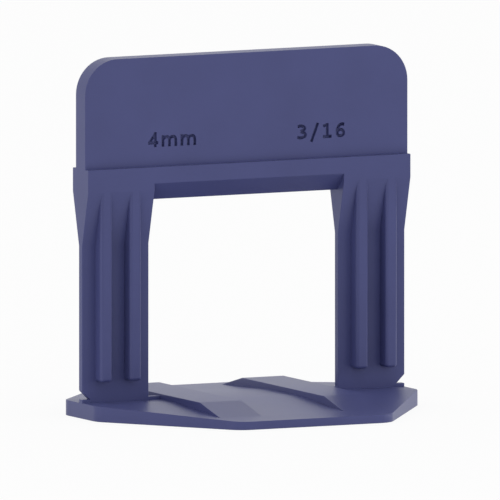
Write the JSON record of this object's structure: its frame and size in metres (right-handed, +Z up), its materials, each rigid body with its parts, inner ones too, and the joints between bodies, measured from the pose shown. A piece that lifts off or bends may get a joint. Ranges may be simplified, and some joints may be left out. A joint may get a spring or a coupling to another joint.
{
  "type": "tile levelling clip",
  "caption": "Moulded plastic tile levelling clip: octagonal base with rails, ribbed legs with break notches, a wedge window and a flat strike tab.",
  "frame": {"origin": "middle of the base's flat underside", "axes": "+Z up from the base to the tab, X across the two legs, -Y out of the front, through the window's front side"},
  "size_m": [0.048, 0.0454, 0.0483],
  "materials": {
    "indigo_plastic": "fine matte moulded plastic"
  },
  "bodies": {
    "root": {"levelling_clip": "indigo_plastic"}
  },
  "joints": []
}
